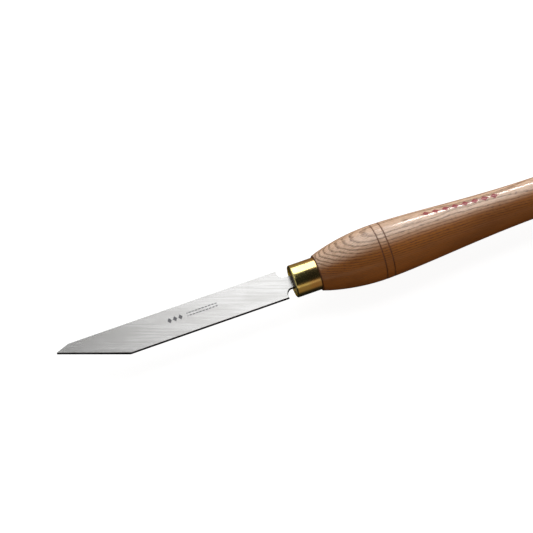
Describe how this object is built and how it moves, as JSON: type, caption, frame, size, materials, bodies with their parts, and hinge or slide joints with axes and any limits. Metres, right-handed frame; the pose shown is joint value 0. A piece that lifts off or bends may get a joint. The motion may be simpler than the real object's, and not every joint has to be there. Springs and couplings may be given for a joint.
{
  "type": "thin parting tool",
  "caption": "Woodturner's thin parting tool: a flat steel bar ground to an off-centre point, held by a brass ferrule in a turned ash handle.",
  "frame": {"origin": "middle of the ferrule's length, on the axis of the handle", "axes": "+X along the tool towards the butt of the handle, so the point faces -X; +Z out of the blade's upper flat; +Y towards the edge that the point is nearest to"},
  "size_m": [0.4593, 0.0432, 0.0432],
  "materials": {
    "ground_steel": "ground lengthways, hollow grey sheen",
    "brass": "polished",
    "ash_wood": "satin lacquer over straight and looped grain"
  },
  "bodies": {
    "root": {"blade": "ground_steel", "ferrule": "brass", "handle": "ash_wood"}
  },
  "joints": []
}
